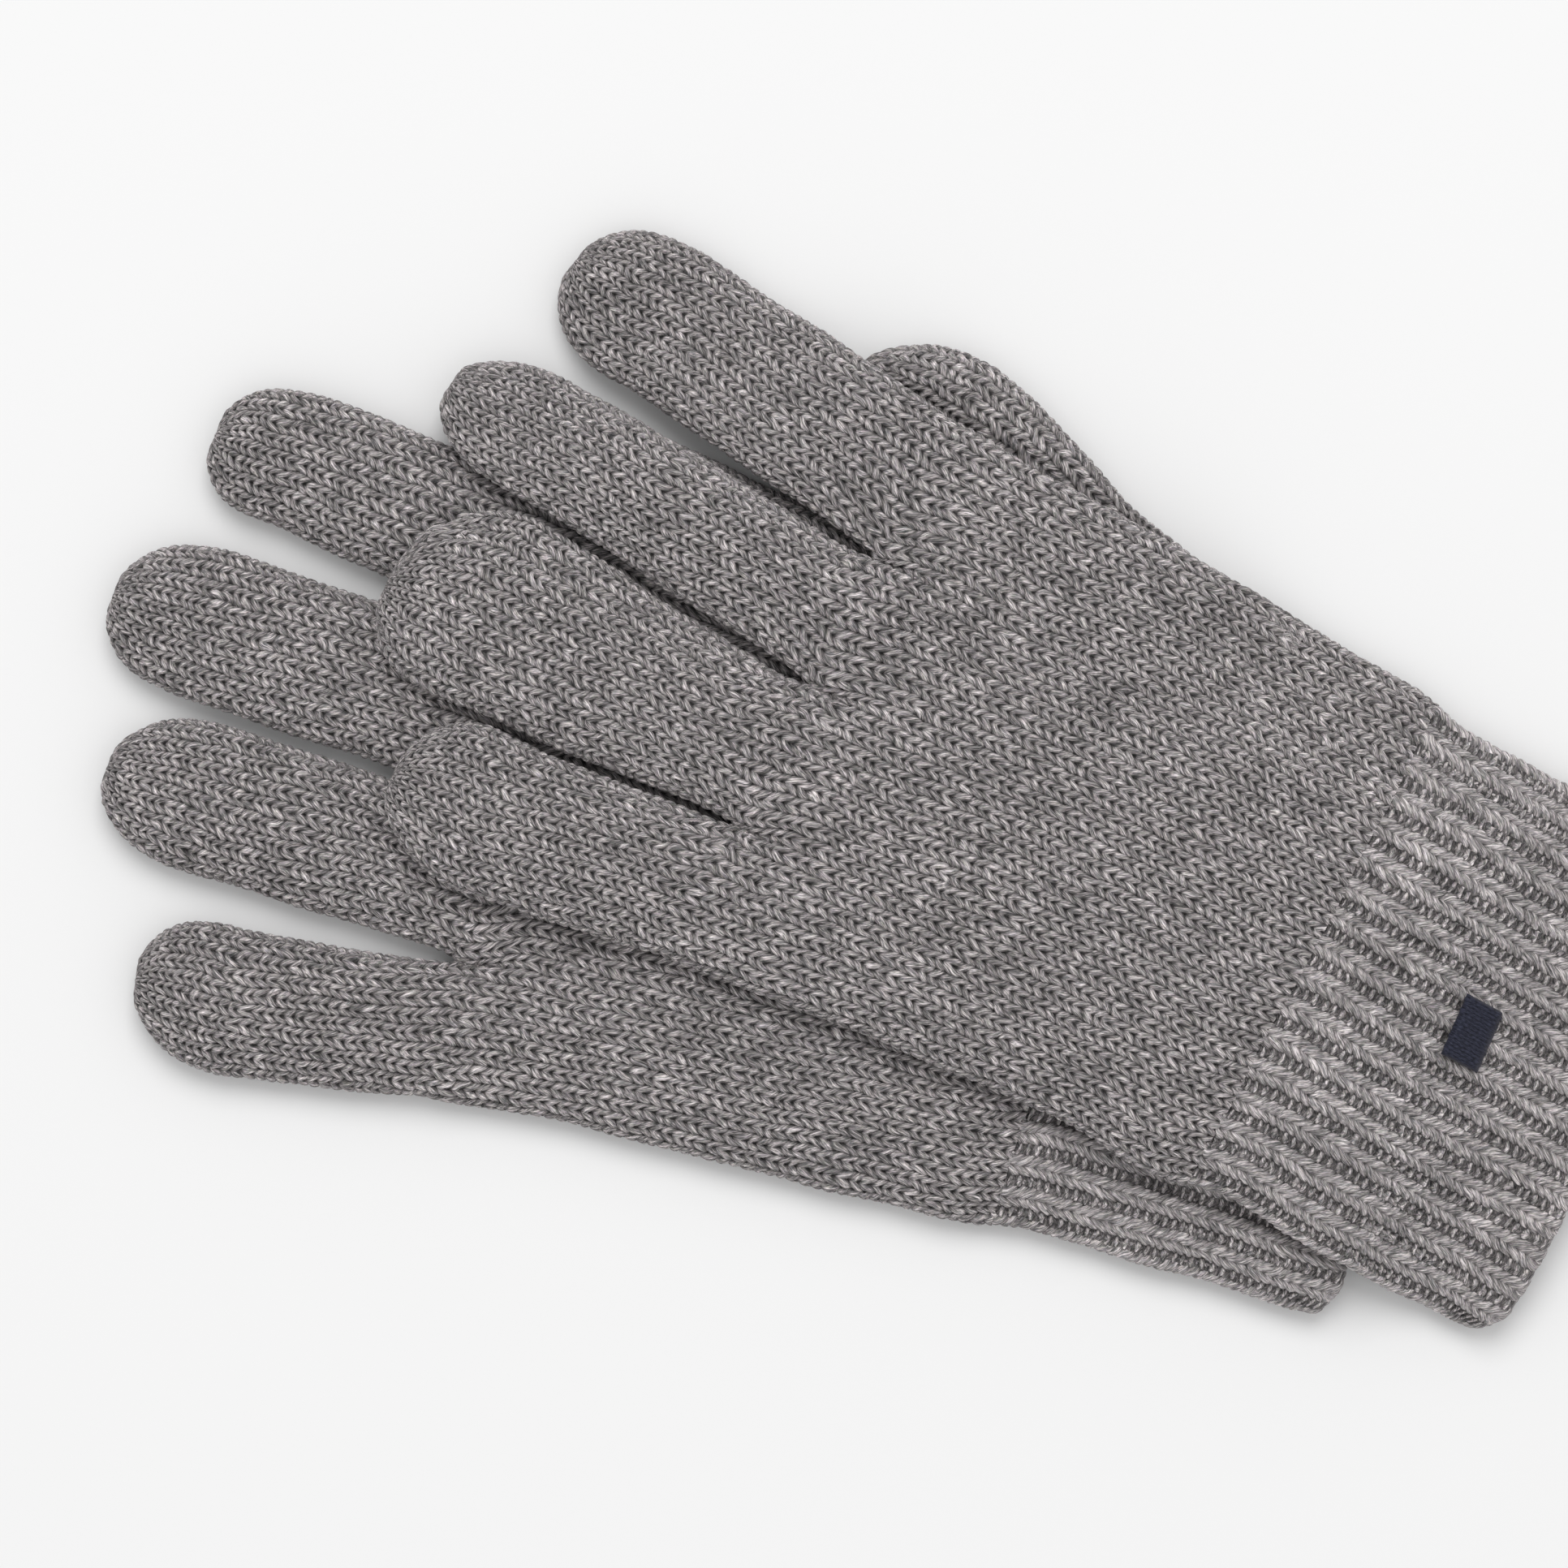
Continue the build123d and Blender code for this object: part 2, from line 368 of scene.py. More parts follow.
def hand_half(glove, x, columns, side):
    """The hand's face, which turns into four fingers' as it nears their roots."""
    low, high = (through_points(glove["hand"], edge, x) for edge in (1, 2))
    depth = RISE if side > 0 else -DROP
    across, height = half_section(low, high, depth, FLAT, columns / HAND_COLUMNS)
    share = smooth((x - glove["root"]) / FADE_IN + 1) ** 1.6
    if share > 0:
        for name, (first, last) in FINGER_COLUMNS.items():
            mine = (columns >= first) & (columns <= last)
            finger_across, finger_height = finger_half(glove, name, x, columns[mine], side)
            across[mine] += (finger_across - across[mine]) * share
            height[mine] += (finger_height - height[mine]) * share
    return across, height


def finger_or_hand_half(glove, name, x, columns, side):
    if x <= glove["root"]:
        return hand_half(glove, x, columns, side)
    return finger_half(glove, name, x, columns, side)


def thumb_half(glove, x, columns, side):
    tip = glove["thumb_tip"]
    shoulder = glove["thumb"][-1][0]
    width, thick = closing(x, shoulder, tip[0])
    low, high = (tip[1] + (through_points(glove["thumb"], edge, min(x, shoulder)) - tip[1]) * width
                 for edge in (1, 2))
    start = glove["thumb"][0][0]
    depth = (FINGER_RISE if side > 0 else -DROP) * thick * (0.35 + 0.65 * smooth((x - start) / 22))
    return half_section(low, high, depth, ROUND, columns / THUMB_COLUMNS)


def digit_rows(start, shoulder, tip, half_width):
    """Where each mesh row of a digit lies, closer together where the tip turns in."""
    x = np.concatenate([np.linspace(start, shoulder, 60)[:-1],
                        shoulder + (tip - shoulder) * np.sin(np.linspace(0, math.pi / 2, 80))])
    width = closing(x, shoulder, tip)[0] * half_width
    course = COURSE + (TIP_COURSE - COURSE) * np.clip((x[1:] - start) / (shoulder - start), 0, 1)
    step = np.hypot(np.diff(x), 0.75 * np.diff(width)) / course
    length = np.concatenate([[0], np.cumsum(step)])
    rows = round(length[-1])
    r = np.arange(-ROW_STEPS, rows * ROW_STEPS + 1) / ROW_STEPS
    at = np.interp(r * length[-1] / rows, length, x)
    before = r < 0
    at[before] = start + r[before] * COURSE
    return r, at


# -------------------- stitches to meshes

LINING = 1.9               # from a tube's outside to its inside
LINING_STEP = 3            # the inside has every third row and column


def round_tube(first, last, fine, coarse):
    """Columns round a tube: over its upper face, back under its lower one, and all in turn."""
    upper = np.linspace(first, last, (last - first) * fine + 1)
    lower = np.linspace(first, last, (last - first) * coarse + 1)[-2:0:-1]
    return upper, lower, np.concatenate([upper, 2 * last - lower, [2 * last - first]])


def normals(points):
    """Outward normals of a grid whose rows run along a tube and columns round it."""
    along = np.gradient(points, axis=0)
    around = np.roll(points, -1, axis=1) - np.roll(points, 1, axis=1)
    normal = np.cross(around, along)
    return normal / np.maximum(np.linalg.norm(normal, axis=2, keepdims=True), 1e-9)


def drift(x, y):
    """How far the fabric's columns and rows wander from even, in stitches."""
    return (0.12 * waves(x, y, 40, 3) + 0.07 * waves(x, y, 9, 4) + 0.06 * waves(x, y, 4, 5),
            0.18 * waves(x, y, 30, 6) + 0.08 * waves(x, y, 8, 7) + 0.17 * waves(x, y, 5, 8))


HEIGHT_VARIES = 0.07       # share by which a tube's thickness varies
OUTLINE_WANDERS = 0.35     # mm by which its outline does
STITCHES_VARY = 0.16       # share by which its stitches' relief does


def knitted(place, base, half, x, row, tube, stitch, gain, bend=None, wander=1.0):
    """A tube's mesh points in world mm, with the stitch coordinates of its grid.

    half(x, columns, side) gives a face's section, bend(along, across, height) may move it, and
    wander is how much its columns wander.
    """
    upper, lower, c = tube
    faces = [(half(at, upper, 1), half(at, lower, -1)) for at in x]
    across = np.array([np.concatenate([face[0] for face in pair]) for pair in faces])
    height = np.array([np.concatenate([face[1] for face in pair]) for pair in faces])
    along = np.array([at[0] if isinstance(at, tuple) else at for at in x], float)
    along = np.repeat(along[:, None], across.shape[1], axis=1)
    if bend is not None:
        along, across, height = bend(along, across, height)
    world_x, world_y = place.world(along, across)
    height = height * (1 + HEIGHT_VARIES * waves(world_x, world_y, 24, 13))
    level = base(world_x, world_y) + DROP
    world_x, world_y = (world_x + OUTLINE_WANDERS * waves(world_x, world_y, 26, 11),
                        world_y + OUTLINE_WANDERS * waves(world_x, world_y, 26, 12))
    points = np.stack([world_x, world_y, level + height], axis=2)
    column_drift, row_drift = drift(world_x, world_y)
    c = c[None, :] + wander * np.hstack([column_drift, column_drift[:, :1]])
    stitch_row = np.array(row)[:, None] + np.hstack([row_drift, row_drift[:, :1]])
    size = 1 + STITCHES_VARY * waves(world_x, world_y, 3.4, 9)
    relief = stitch(c[:, :-1], stitch_row[:, :-1]) * size * np.asarray(gain)[:, None]
    normal = normals(points)
    return {"points": points + normal * relief[..., None], "inner": points - normal * LINING,
            "c": c, "stitch_row": stitch_row, "row": np.array(row, float)}


def kept_rows(patch, keep):
    return {name: values[keep] for name, values in patch.items()}


def rows_of(patch, first, last):
    """The rows of a patch whose row coordinate is from first to last."""
    return kept_rows(patch, (patch["row"] >= first - 1e-6) & (patch["row"] <= last + 1e-6))


def lining_of(patch, tip_rows=0):
    """The coarser inside of a tube."""
    rows = np.unique(np.append(np.arange(0, len(patch["row"]) - tip_rows, LINING_STEP),
                               len(patch["row"]) - 1 - tip_rows))
    columns = np.arange(0, patch["points"].shape[1], LINING_STEP)
    closed = np.append(columns, patch["points"].shape[1])
    return {"points": patch["inner"][rows][:, columns], "c": patch["c"][rows][:, closed],
            "stitch_row": patch["stitch_row"][rows][:, closed], "inside": True}


def quads(rows, cols):
    """The row and column of each of the four corners of a grid's quads."""
    i, j = (index.ravel() for index in np.meshgrid(np.arange(rows), np.arange(cols),
                                                   indexing="ij"))
    return [(i, j), (i, j + 1), (i + 1, j + 1), (i + 1, j)]


def mesh_from(name, grids):
    """One object from grids closed round, with their stitch coordinates as a UV layer."""
    verts, faces, stitch_uv, bake_uv = [], [], [], []
    offset = 0
    sizes = np.array([grid["points"].shape[0] * (0.6 if grid.get("inside") else 1.0)
                      for grid in grids], float)
    tops = np.concatenate([[0], np.cumsum(sizes / sizes.sum())])
    for number, grid in enumerate(grids):
        points = grid["points"]
        rows, cols = points.shape[:2]
        corners = quads(rows - 1, cols)
        if grid.get("inside"):
            corners = corners[::-1]
        faces.append(np.stack([offset + a * cols + b % cols for a, b in corners], axis=1))
        low, high = tops[number] + 0.004, tops[number + 1] - 0.004
        stitch_uv.append(np.stack([np.stack([grid["c"][a, b], grid["stitch_row"][a, b]], axis=1)
                                   for a, b in corners], axis=1))
        bake_uv.append(np.stack([np.stack([0.004 + 0.992 * b / cols,
                                           low + (high - low) * a / (rows - 1)], axis=1)
                                 for a, b in corners], axis=1))
        verts.append(points.reshape(-1, 3))
        offset += rows * cols
    return mesh_piece(name, np.concatenate(verts) * MM, np.concatenate(faces),
                      {"OFBake": np.concatenate(bake_uv), "stitch": np.concatenate(stitch_uv)})


def mesh_piece(name, verts, faces, uv_layers):
    """A smooth mesh object of quads."""
    mesh = bpy.data.meshes.new(name)
    mesh.vertices.add(len(verts))
    mesh.vertices.foreach_set("co", verts.astype(np.float32).ravel())
    mesh.loops.add(faces.size)
    mesh.loops.foreach_set("vertex_index", faces.astype(np.int32).ravel())
    mesh.polygons.add(len(faces))
    mesh.polygons.foreach_set("loop_start", np.arange(0, faces.size, 4, dtype=np.int32))
    mesh.polygons.foreach_set("use_smooth", np.ones(len(faces), bool))
    for layer, uv in uv_layers.items():
        mesh.uv_layers.new(name=layer).data.foreach_set("uv", uv.astype(np.float32).ravel())
    mesh.update(calc_edges=True)
    mesh.validate()
    piece = bpy.data.objects.new(name, mesh)
    bpy.context.scene.collection.objects.link(piece)
    return piece


# -------------------- materials

# darkest, middle and palest fibres
JERSEY_GREYS = (0.055, 0.28, 0.85)
RIB_GREYS = (0.075, 0.33, 0.9)


def node(tree, kind, **inputs):
    """A shader node, with its inputs given by name, or i0, i1 and so on by place."""
    made = tree.nodes.new(kind)
    for name, value in inputs.items():
        by_place = name[0] == "i" and name[1:].isdigit()
        socket = made.inputs[int(name[1:]) if by_place else name]
        if isinstance(value, bpy.types.NodeSocket):
            tree.links.new(value, socket)
        else:
            socket.default_value = value
    return made


def blank_material(name, roughness, sheen):
    material = bpy.data.materials.new(name)
    material.use_nodes = True
    tree = material.node_tree
    shader = tree.nodes["Principled BSDF"]
    shader.inputs["Roughness"].default_value = roughness
    shader.inputs["Sheen Weight"].default_value = sheen
    shader.inputs["Sheen Roughness"].default_value = 0.6
    shader.inputs["Specular IOR Level"].default_value = 0.15
    return material, tree, shader


def ramp(tree, factor, stops):
    made = node(tree, "ShaderNodeValToRGB", Fac=factor)
    elements = made.color_ramp.elements
    while len(elements) < len(stops):
        elements.new(0.5)
    for element, (position, grey) in zip(elements, stops):
        element.position = position
        element.color = grey if isinstance(grey, tuple) else (grey, grey, grey, 1)
    return made.outputs["Color"]


def mixed_colour(tree, blend_type, factor, a, b):
    made = tree.nodes.new("ShaderNodeMix")
    made.data_type = "RGBA"
    made.blend_type = blend_type
    made.inputs[0].default_value = factor
    tree.links.new(a, made.inputs[6])
    tree.links.new(b, made.inputs[7])
    return made.outputs[2]


def streaks(tree, x, y, z):
    """Noise at a place given by three terms."""
    at = node(tree, "ShaderNodeCombineXYZ", X=x.socket, Y=y.socket, Z=z.socket)
    return node(tree, "ShaderNodeTexNoise", Vector=at.outputs[0], Scale=1.0, Detail=3.0,
                Roughness=0.6)


def knit_material(name, ribbed):
    """Melange yarn: pale and dark fibres that follow each leg of each stitch, with painted shade
    in the gaps and grooves between legs and loops.
    """
    material, tree, shader = blank_material(name, 0.92, 0.1)
    uv = node(tree, "ShaderNodeUVMap")
    uv.uv_map = "stitch"
    split = node(tree, "ShaderNodeSeparateXYZ", i0=uv.outputs[0])
    c, r = Term(tree, split.outputs[0]), Term(tree, split.outputs[1])

    # painted shade: the colour is darkened where the yarn dives between its neighbours, in the
    # gaps beside each leg, the thin lines between stitches, at the legs' ends and round the purl
    # loops in the ribs' valleys
    if ribbed:
        v, phase, crown, gap, line, valley, loop, _ = rib_stitch(c, r)
        ridge = (1 - 0.72 * gap * (1 - crown ** 0.6)) * (1 - 0.3 * line)
        painted_valley_shade = 0.36 + 0.64 * loop ** 0.5
        depth = ridge + valley * (painted_valley_shade - ridge)
    else:
        v, phase, crown, gap, ends, line = plain_stitch(c, r)
        depth = (1 - 0.9 * gap * (1 - crown ** 0.6)) * (1 - 0.5 * line) * (1.06 - 0.34 * ends)

    # fibres: long along the leg, fine across it, twisted a little as in a plied yarn
    leg_number = floor_of(2 * c) * 17.3 + floor_of(phase)
    apart = leg_number * 3.1
    twisted = fract(phase) + 0.55 * v
    fibres = streaks(tree, v * 1.4, twisted * 3.6, apart)
    flecks = streaks(tree, v * 2.8, twisted * 8.5, apart)
    mixed = 0.6 * Term(tree, flecks.outputs["Fac"]) + 0.4 * Term(tree, fibres.outputs["Fac"])
    dark, middle, pale = RIB_GREYS if ribbed else JERSEY_GREYS
    yarn = ramp(tree, mixed.socket, ((0.37, dark), (0.5, middle), (0.63, pale)))
    yarn = mixed_colour(tree, "OVERLAY", 0.22, yarn, flecks.outputs["Color"])

    # each leg, and each stretch of the fabric, is a little paler or darker, and the painted shade
    # of the gaps is multiplied in
    leg_at = node(tree, "ShaderNodeCombineXYZ", X=leg_number.socket)
    one_leg = node(tree, "ShaderNodeTexWhiteNoise", Vector=leg_at.outputs[0])
    cloud = streaks(tree, c * 0.3, r * 0.13, 0 * c)
    shade = 0.8 + 0.4 * Term(tree, one_leg.outputs["Value"])
    shade = shade * (0.7 + 0.6 * Term(tree, cloud.outputs["Fac"])) * depth
    cool = shade * 0.935
    grey = node(tree, "ShaderNodeCombineColor", Red=shade.socket, Green=cool.socket,
                Blue=cool.socket)
    tree.links.new(mixed_colour(tree, "MULTIPLY", 1.0, yarn, grey.outputs[0]),
                   shader.inputs["Base Color"])

    relief = 0.4 * crown + mixed
    bump = node(tree, "ShaderNodeBump", Height=relief.socket, Strength=0.8, Distance=0.00025)
    tree.links.new(bump.outputs[0], shader.inputs["Normal"])
    return material


JERSEY = knit_material("grey_plain_knitting", False)
RIB = knit_material("grey_ribbing", True)


# -------------------- the gloves

FOLD_LINES = {"left": {"index": 200, "middle": 204, "ring": 200, "little": 192},
              "right": {"index": 206, "middle": 206, "ring": 196, "little": 192}}
SEAM_LEAD = 8.0            # from a finger's fold line back to the seam of its two pieces
FOLD_LEAD, FOLD_REACH = 3.0, 11.0          # lengths before and past a fold line
ROOT_BEND = 18.0           # a length at a finger's root
CUFF_BEND = 18.0           # and at the left wrist
THUMB_VALLEY = 2.0         # how far the thumb sinks beside the hand's edge
THUMB_JOIN = 22.0          # length over which the thumb's base goes into the hand
THUMB_HALF_WIDTH = 12.5
THUMB_LEAN = 0.2           # how far its rows lean, as a slope
TIP_CREASES = 6            # puckers round a fingertip's closed end
PUCKER, PUCKER_REACH = 0.35, 7.0
LEAN_REACH = 16.0          # length over which a splayed finger's rows turn square to it


def hand_rows(glove):
    return round((glove["root"] - WRIST) / COURSE)


def hand_patch(glove, place, base):
    count = hand_rows(glove)
    row = np.arange(-ROW_STEPS, (count + 1) * ROW_STEPS + 1) / ROW_STEPS
    x = WRIST + row * (glove["root"] - WRIST) / count
    tube = round_tube(0, HAND_COLUMNS, UPPER_STEPS, LOWER_STEPS)
    ribs = RIB_RELIEF * smooth(1 - (x - WRIST) / GATHER)[:, None]

    def stitch(c, r):
        return (jersey(c + COLUMN_START, r)
                + ribs * np.cos(2 * math.pi * c * RIBS / HAND_COLUMNS))

    patch = knitted(place, base, partial(hand_half, glove), x, row, tube, stitch,
                    np.ones(len(x)))
    patch["c"] = patch["c"] + COLUMN_START
    return rows_of(patch, 0, count)


def off_edge(height):
    """1 on a tube's upper face, down to 0 at its side folds and on its lower face."""
    return smooth((height - 1.0) / 2.5)


def finger_patch(glove, place, base, name):
    first, last = FINGER_COLUMNS[name]
    at_root, shoulder, at_shoulder, tip = glove["fingers"][name]
    row, x = digit_rows(glove["root"], shoulder, tip[0], (at_shoulder[1] - at_shoulder[0]) / 2)
    row = row + hand_rows(glove)
    slope = (sum(at_shoulder) - sum(at_root)) / 2 / (shoulder - glove["root"])
    pucker = PUCKER * smooth(1 - (tip[0] - x) / PUCKER_REACH)[:, None]
    creased = glove["name"] == "left" and name == CREASED
    middle = (first + last) / 2
    gained = glove["stitches"][name] / (last - first) - 1
    spread = 1 + gained * smooth((x - glove["root"]) / GUSSET)[:, None]

    def stitch(c, r):
        return (jersey(middle + (c - middle) * spread + COLUMN_START, r)
                - pucker * np.cos(math.pi * TIP_CREASES * (c - first) / (last - first)))

    def bend(along, across, height):
        """Rows of a splayed finger lean square to it, once they are clear of the hand."""
        line = across.mean(axis=1, keepdims=True)
        lean = slope * smooth((along - glove["root"]) / LEAN_REACH)
        leaning = along - lean * (across - line)
        if creased:
            beyond = smooth((across - CREASE_AT + 1.5) / 4.5)
            near = smooth((along - CREASE_FROM) / 18)
            height = height - CREASE_DEPTH * beyond * near * off_edge(height)
            leaning = leaning - CREASE_DRAW * beyond * smooth((along - shoulder + 4) / 12)
        return leaning, across, height

    gain = smooth(closing(x, shoulder, tip[0])[0] / 0.5)
    tube = round_tube(first, last, FINGER_UPPER_STEPS, FINGER_LOWER_STEPS)
    patch = knitted(place, base, partial(finger_or_hand_half, glove, name), x, row, tube,
                    stitch, np.maximum(gain, 0.25 * (x < tip[0] - 0.5)), bend)
    patch["c"] = middle + (patch["c"] - middle) * spread + COLUMN_START
    return patch, x


def thumb_patch(glove, place, base):
    stations, tip = glove["thumb"], glove["thumb_tip"]
    start, shoulder = stations[0][0], stations[-1][0]
    row, x = digit_rows(start, shoulder, tip[0], THUMB_HALF_WIDTH)

    def bend(along, across, height):
        """Rows lean with the thumb, and its inner half sinks beside the hand's edge."""
        middle = across.mean(axis=1, keepdims=True)
        edge = through_points(glove["hand"], 2, along[:, :1])
        beside = smooth((edge + 5 - across) / 6) * smooth((tip[0] + 2 - along) / 16)
        height = height - THUMB_VALLEY * beside * off_edge(height)
        height = height + glove["thumb_rise"] * smooth(1 - (along - start) / THUMB_JOIN)
        lean = THUMB_LEAN * smooth((along - start) / 30)
        return along - lean * (across - middle), across, height

    tube = round_tube(0, THUMB_COLUMNS, UPPER_STEPS, LOWER_STEPS)
    patch = knitted(place, base, partial(thumb_half, glove), x, row, tube, jersey,
                    smooth(closing(x, shoulder, tip[0])[0] / 0.5), bend)
    return rows_of(patch, 0, row[-1])


WALL = 2.2                 # between the outer and the inner face of a cuff
RIM = WALL / 2             # radius of the cuff's rounded edge
TUCK = 2.4                 # how far the cuff runs on under the hand's first rows
TUCK_DEPTH = 1.3           # and how deep it goes there
GAPE_REACH = 26.0          # how far in the mouth stands open
BOW_REACH = 14.0           # how far in its bowed edge shows
CORNER_FROM, CORNER_WIDTH = 30.0, 18.0


def tucked(x):
    """How far the cuff has gone in under the hand at x, from 0 to 1."""
    return smooth((x - WRIST + 0.6) / 1.6)


def cuff_patch(glove, place, base):
    """The cuff from its inside at the wrist, round the rim, to its outside at the wrist."""
    inner = np.arange(WRIST - 1, RIM, -RIB_COURSE / 3)
    turn = np.linspace(0, math.pi, 9)
    outer = np.arange(RIM, WRIST + TUCK, RIB_COURSE / ROW_STEPS)
    x = np.concatenate([inner, RIM - RIM * np.sin(turn), outer[1:]])
    inset = np.concatenate([np.full(len(inner), WALL), RIM + RIM * np.cos(turn),
                            TUCK_DEPTH * tucked(outer[1:])])
    length = np.concatenate([[0], np.cumsum(np.hypot(np.diff(x), np.diff(inset)))])
    rim_at = len(inner) + 4
    row = (length - length[rim_at]) / RIB_COURSE
    inside = np.arange(len(x)) < rim_at
    bow, corner, rounding = glove["mouth_bow"]

    def half(at, columns, side):
        along, cut = at
        low, high = (through_points(glove["hand"], edge, along) for edge in (1, 2))
        open_up = glove["gape"] * smooth(1 - along / GAPE_REACH)
        depth = RISE + open_up - cut if side > 0 else -(DROP + 0.1 * open_up - cut)
        return half_section(low + cut, high - cut, depth, FLAT, columns / RIBS)

    def bend(along, across, height):
        """The mouth's rounded corners, and its middle, which bows out."""
        far = np.clip((np.abs(across) - CORNER_FROM) / CORNER_WIDTH, 0, 1)
        near = smooth(1 - along / BOW_REACH)
        return along + near * (bow + (corner - bow) * far ** rounding), across, height

    def stitch(c, r):
        return ribbing(np.where(inside[:, None], c + 0.5, c), r)

    near_rim = np.abs(length - length[rim_at])
    gain = (0.4 + 0.6 * smooth((near_rim - 1.5) / 5)) * (1 - 0.8 * tucked(x))
    tube = round_tube(0, RIBS, UPPER_RIB_STEPS, LOWER_RIB_STEPS)
    patch = knitted(place, base, half, list(zip(x, inset)), row, tube, stitch, gain, bend, 0.3)
    return patch, x, inside


def finish_piece(piece, material, slot, *nodes):
    piece.data.materials.append(material)
    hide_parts(*nodes)
    return piece


def build_cuff(glove, place, base):
    """The cuff in two pieces: its edge, and the rest of it."""
    side = glove["name"]
    patch, x, inside = cuff_patch(glove, place, base)
    step = RIB_COURSE / ROW_STEPS
    in_edge = np.where(inside, x <= EDGE_LINING + 0.7, x <= EDGE_END + step)
    edge = mesh_from(f"{side}_cuff_edge_knit", [kept_rows(patch, in_edge)])
    body = mesh_from(f"{side}_cuff_knit", [kept_rows(patch, ~inside & (x >= EDGE_END)),
                                           kept_rows(patch, inside & (x >= EDGE_LINING))])
    finish_piece(edge, RIB, "rib_knit", f"{side}_cuff_edge")
    finish_piece(body, RIB, "rib_knit", f"{side}_cuff")
    if side == "left":
        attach(edge, "left_cuff")
        place.point(WRIST, 0)
        place.point(WRIST - CUFF_BEND, 0)
        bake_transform(body)
    else:
        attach(edge, "right_glove")
        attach(body, "right_glove")
    return patch["points"]


def build_finger(glove, place, base, name):
    """A finger in two pieces that meet a little before its fold line."""
    side = glove["name"]
    patch, x = finger_patch(glove, place, base, name)
    fold = FOLD_LINES[side][name]
    parting = patch["row"][x >= fold - SEAM_LEAD][0]
    near_part = rows_of(patch, hand_rows(glove), parting)
    far_part = rows_of(patch, parting, patch["row"][-1])
    near = mesh_from(f"{side}_{name}_base_knit", [near_part, lining_of(near_part)])
    far = mesh_from(f"{side}_{name}_end_knit", [far_part, lining_of(far_part, 3 * ROW_STEPS)])
    finish_piece(near, JERSEY, "jersey_knit", f"{side}_{name}_base")
    finish_piece(far, JERSEY, "jersey_knit", f"{side}_{name}_end")
    root_moves = side == "left" or name == "little"
    near_body = f"{side}_{name}_base" if root_moves else f"{side}_glove"
    middle = sum(glove["fingers"][name][0]) / 2
    if root_moves:
        reach = min(ROOT_BEND, fold - SEAM_LEAD - glove["root"])
        place.point(glove["root"], middle)
        place.point(glove["root"] + reach, middle)
        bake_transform(near)
    else:
        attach(near, near_body)
    place.point(fold - FOLD_LEAD, middle)
    place.point(fold + FOLD_REACH, middle)
    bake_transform(far)
    return patch["points"]


def build_glove(glove, place, base):
    side = glove["name"]
    hand = hand_patch(glove, place, base)
    piece = mesh_from(f"{side}_hand_knit", [hand, lining_of(hand)])
    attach(finish_piece(piece, JERSEY, "jersey_knit", f"{side}_hand"), f"{side}_glove")
    points = [hand["points"], build_cuff(glove, place, base)]
    return points + [build_finger(glove, place, base, name) for name in FINGER_COLUMNS]


def build_thumb(glove, place, base):
    side = glove["name"]
    patch = thumb_patch(glove, place, base)
    piece = mesh_from(f"{side}_thumb_knit", [patch, lining_of(patch, 3 * ROW_STEPS)])
    finish_piece(piece, JERSEY, "jersey_knit", f"{side}_thumb")
    if side == "left":
        place.point(98, 40)
        place.point(124, 43)
        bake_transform(piece)
    else:
        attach(piece, "right_glove")
    return patch["points"][round(THUMB_JOIN / COURSE) * ROW_STEPS:]


# -------------------- how the left glove drapes

CELL = 1.5                 # mm
SAG = 0.03                 # curvature of unsupported fabric, 1/mm
CLEAR = 0.45               # between the two gloves
FLOOR_CLEAR = 0.3          # and between the left one and the floor
FLOOR_LEVEL = 0.8          # lower face of a tube on the floor, before its stitches' relief
MARGIN = 12.0              # of the grid of heights, round the model
SETTLING_STEPS = 2600
SMOOTHING_STEPS = 6
WIDENING = 2               # cells by which the glove's outline is widened
FRINGE = 8                 # cells by which the sheet is carried on beyond that


def beside(grid):
    """The grid moved by one cell each way along both its axes."""
    return [np.roll(grid, step, axis) for axis in (0, 1) for step in (1, -1)]


